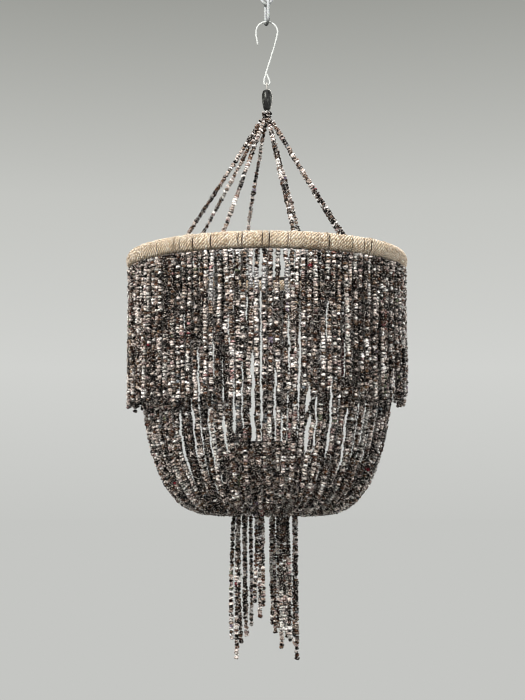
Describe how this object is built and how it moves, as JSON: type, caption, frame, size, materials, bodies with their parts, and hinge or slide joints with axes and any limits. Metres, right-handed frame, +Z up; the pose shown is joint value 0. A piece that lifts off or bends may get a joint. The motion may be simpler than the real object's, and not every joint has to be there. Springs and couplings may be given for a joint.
{
  "type": "beaded chandelier",
  "caption": "Bead-strand pendant shade: a wound hoop with a bead fringe, a sagging bowl of bead strands and bead tassels, hung by bead strands, a cord, an S-hook and chain.",
  "frame": {"origin": "inside of the upper chain link's top bend, where the ceiling hook bears", "axes": "+Z up along the hanging line; X lies in the upper chain link's and the S-hook's plane; Y points from the front of the picture towards its back"},
  "size_m": [0.4494, 0.4494, 1.1062],
  "materials": {
    "zinc_steel": "dull zinc plate, scuffed",
    "pale_wire": "pale galvanised wire",
    "cotton_cord": "undyed twisted cotton",
    "dark_wood": "dark stained wood, satin, open grain",
    "beads": "glossy irregular chips, mostly near-black and brown, with runs of cream, red, mauve and green",
    "straw_cord": "twisted straw-coloured cord",
    "cane": "bare cane",
    "black_steel": "black paint, satin"
  },
  "bodies": {
    "ceiling_link": {"upper_chain_link": "zinc_steel"},
    "hanging_link": {"lower_chain_link": "zinc_steel"},
    "hook": {"s_hook": "pale_wire"},
    "hanger": {"hanger_cord": "cotton_cord"},
    "bead": {"barrel_bead": "dark_wood"},
    "lamp": {"apex_knot": "beads", "suspension_strand_1": "beads", "suspension_strand_2": "beads", "suspension_strand_3": "beads", "suspension_strand_4": "beads", "suspension_strand_5": "beads", "suspension_strand_6": "beads", "suspension_strand_7": "beads", "suspension_strand_8": "beads", "hoop_core": "cane", "hoop_binding_1": "straw_cord", "hoop_binding_2": "straw_cord", "hoop_binding_3": "straw_cord", "hoop_binding_4": "straw_cord", "hoop_binding_5": "straw_cord", "hoop_binding_6": "straw_cord", "hoop_binding_7": "straw_cord", "hoop_binding_8": "straw_cord", "inner_hoop": "black_steel", "bowl_strands_1": "beads", "bowl_strands_2": "beads", "bowl_strands_3": "beads", "bowl_strands_4": "beads", "bowl_strands_5": "beads", "bowl_strands_6": "beads", "bowl_strands_7": "beads", "bowl_strands_8": "beads", "small_ring": "black_steel", "stay_strand_1": "beads", "stay_strand_2": "beads", "stay_strand_3": "beads", "stay_strand_4": "beads"},
    "fringe_bunch_1": {"fringe_1": "beads"},
    "fringe_bunch_2": {"fringe_2": "beads"},
    "fringe_bunch_3": {"fringe_3": "beads"},
    "fringe_bunch_4": {"fringe_4": "beads"},
    "fringe_bunch_5": {"fringe_5": "beads"},
    "fringe_bunch_6": {"fringe_6": "beads"},
    "fringe_bunch_7": {"fringe_7": "beads"},
    "fringe_bunch_8": {"fringe_8": "beads"},
    "fringe_bunch_9": {"fringe_9": "beads"},
    "fringe_bunch_10": {"fringe_10": "beads"},
    "fringe_bunch_11": {"fringe_11": "beads"},
    "fringe_bunch_12": {"fringe_12": "beads"},
    "fringe_bunch_13": {"fringe_13": "beads"},
    "fringe_bunch_14": {"fringe_14": "beads"},
    "fringe_bunch_15": {"fringe_15": "beads"},
    "fringe_bunch_16": {"fringe_16": "beads"},
    "tassel_bunch_1": {"tassel_1": "beads"},
    "tassel_bunch_2": {"tassel_2": "beads"},
    "tassel_bunch_3": {"tassel_3": "beads"},
    "tassel_bunch_4": {"tassel_4": "beads"},
    "tassel_bunch_5": {"tassel_5": "beads"},
    "tassel_bunch_6": {"tassel_6": "beads"}
  },
  "joints": [
    {"name": "link_swing", "type": "hinge", "parent": "ceiling_link", "child": "hanging_link", "pos_m": [0, 0, -0.0375], "axis": [1, 0, 0], "range_deg": [-30, 30]},
    {"name": "hook_swing", "type": "hinge", "parent": "hanging_link", "child": "hook", "pos_m": [0, 0, -0.0722], "axis": [-0.2756, 0.9613, 0], "range_deg": [-30, 30]},
    {"name": "lamp_swing", "type": "hinge", "parent": "hook", "child": "hanger", "pos_m": [0, 0, -0.1749], "axis": [1, 0, 0], "range_deg": [-30, 30]},
    {"name": "bead_turn", "type": "hinge", "parent": "hanger", "child": "bead", "pos_m": [0, 0, -0.19985], "axis": [0, 0, 1], "continuous": true},
    {"name": "lamp_turn", "type": "hinge", "parent": "hanger", "child": "lamp", "pos_m": [0, 0, -0.22305], "axis": [0, 0, 1], "range_deg": [-180, 180]},
    {"name": "fringe_1_swing", "type": "hinge", "parent": "lamp", "child": "fringe_bunch_1", "pos_m": [0.21665, 0.0431, -0.4845], "axis": [0.1951, -0.9808, 0], "range_deg": [0, 75]},
    {"name": "fringe_2_swing", "type": "hinge", "parent": "lamp", "child": "fringe_bunch_2", "pos_m": [0.18367, 0.12273, -0.4845], "axis": [0.5556, -0.8315, 0], "range_deg": [0, 75]},
    {"name": "fringe_3_swing", "type": "hinge", "parent": "lamp", "child": "fringe_bunch_3", "pos_m": [0.12273, 0.18367, -0.4845], "axis": [0.8315, -0.5556, 0], "range_deg": [0, 75]},
    {"name": "fringe_4_swing", "type": "hinge", "parent": "lamp", "child": "fringe_bunch_4", "pos_m": [0.0431, 0.21665, -0.4845], "axis": [0.9808, -0.1951, 0], "range_deg": [0, 75]},
    {"name": "fringe_5_swing", "type": "hinge", "parent": "lamp", "child": "fringe_bunch_5", "pos_m": [-0.0431, 0.21665, -0.4845], "axis": [0.9808, 0.1951, 0], "range_deg": [0, 75]},
    {"name": "fringe_6_swing", "type": "hinge", "parent": "lamp", "child": "fringe_bunch_6", "pos_m": [-0.12273, 0.18367, -0.4845], "axis": [0.8315, 0.5556, 0], "range_deg": [0, 75]},
    {"name": "fringe_7_swing", "type": "hinge", "parent": "lamp", "child": "fringe_bunch_7", "pos_m": [-0.18367, 0.12273, -0.4845], "axis": [0.5556, 0.8315, 0], "range_deg": [0, 75]},
    {"name": "fringe_8_swing", "type": "hinge", "parent": "lamp", "child": "fringe_bunch_8", "pos_m": [-0.21665, 0.0431, -0.4845], "axis": [0.1951, 0.9808, 0], "range_deg": [0, 75]},
    {"name": "fringe_9_swing", "type": "hinge", "parent": "lamp", "child": "fringe_bunch_9", "pos_m": [-0.21665, -0.0431, -0.4845], "axis": [-0.1951, 0.9808, 0], "range_deg": [0, 75]},
    {"name": "fringe_10_swing", "type": "hinge", "parent": "lamp", "child": "fringe_bunch_10", "pos_m": [-0.18367, -0.12273, -0.4845], "axis": [-0.5556, 0.8315, 0], "range_deg": [0, 75]},
    {"name": "fringe_11_swing", "type": "hinge", "parent": "lamp", "child": "fringe_bunch_11", "pos_m": [-0.12273, -0.18367, -0.4845], "axis": [-0.8315, 0.5556, 0], "range_deg": [0, 75]},
    {"name": "fringe_12_swing", "type": "hinge", "parent": "lamp", "child": "fringe_bunch_12", "pos_m": [-0.0431, -0.21665, -0.4845], "axis": [-0.9808, 0.1951, 0], "range_deg": [0, 75]},
    {"name": "fringe_13_swing", "type": "hinge", "parent": "lamp", "child": "fringe_bunch_13", "pos_m": [0.0431, -0.21665, -0.4845], "axis": [-0.9808, -0.1951, 0], "range_deg": [0, 75]},
    {"name": "fringe_14_swing", "type": "hinge", "parent": "lamp", "child": "fringe_bunch_14", "pos_m": [0.12273, -0.18367, -0.4845], "axis": [-0.8315, -0.5556, 0], "range_deg": [0, 75]},
    {"name": "fringe_15_swing", "type": "hinge", "parent": "lamp", "child": "fringe_bunch_15", "pos_m": [0.18367, -0.12273, -0.4845], "axis": [-0.5556, -0.8315, 0], "range_deg": [0, 75]},
    {"name": "fringe_16_swing", "type": "hinge", "parent": "lamp", "child": "fringe_bunch_16", "pos_m": [0.21665, -0.0431, -0.4845], "axis": [-0.1951, -0.9808, 0], "range_deg": [0, 75]},
    {"name": "tassel_1_swing", "type": "hinge", "parent": "lamp", "child": "tassel_bunch_1", "pos_m": [0.04279, 0.01147, -0.7592], "axis": [0.2588, -0.9659, 0], "range_deg": [-3, 8]},
    {"name": "tassel_2_swing", "type": "hinge", "parent": "lamp", "child": "tassel_bunch_2", "pos_m": [0.01147, 0.04279, -0.7592], "axis": [0.9659, -0.2588, 0], "range_deg": [-3, 8]},
    {"name": "tassel_3_swing", "type": "hinge", "parent": "lamp", "child": "tassel_bunch_3", "pos_m": [-0.03132, 0.03132, -0.7592], "axis": [0.7071, 0.7071, 0], "range_deg": [-3, 8]},
    {"name": "tassel_4_swing", "type": "hinge", "parent": "lamp", "child": "tassel_bunch_4", "pos_m": [-0.04279, -0.01147, -0.7592], "axis": [-0.2588, 0.9659, 0], "range_deg": [-3, 8]},
    {"name": "tassel_5_swing", "type": "hinge", "parent": "lamp", "child": "tassel_bunch_5", "pos_m": [-0.01147, -0.04279, -0.7592], "axis": [-0.9659, 0.2588, 0], "range_deg": [-3, 8]},
    {"name": "tassel_6_swing", "type": "hinge", "parent": "lamp", "child": "tassel_bunch_6", "pos_m": [0.03132, -0.03132, -0.7592], "axis": [-0.7071, -0.7071, 0], "range_deg": [-3, 8]}
  ]
}
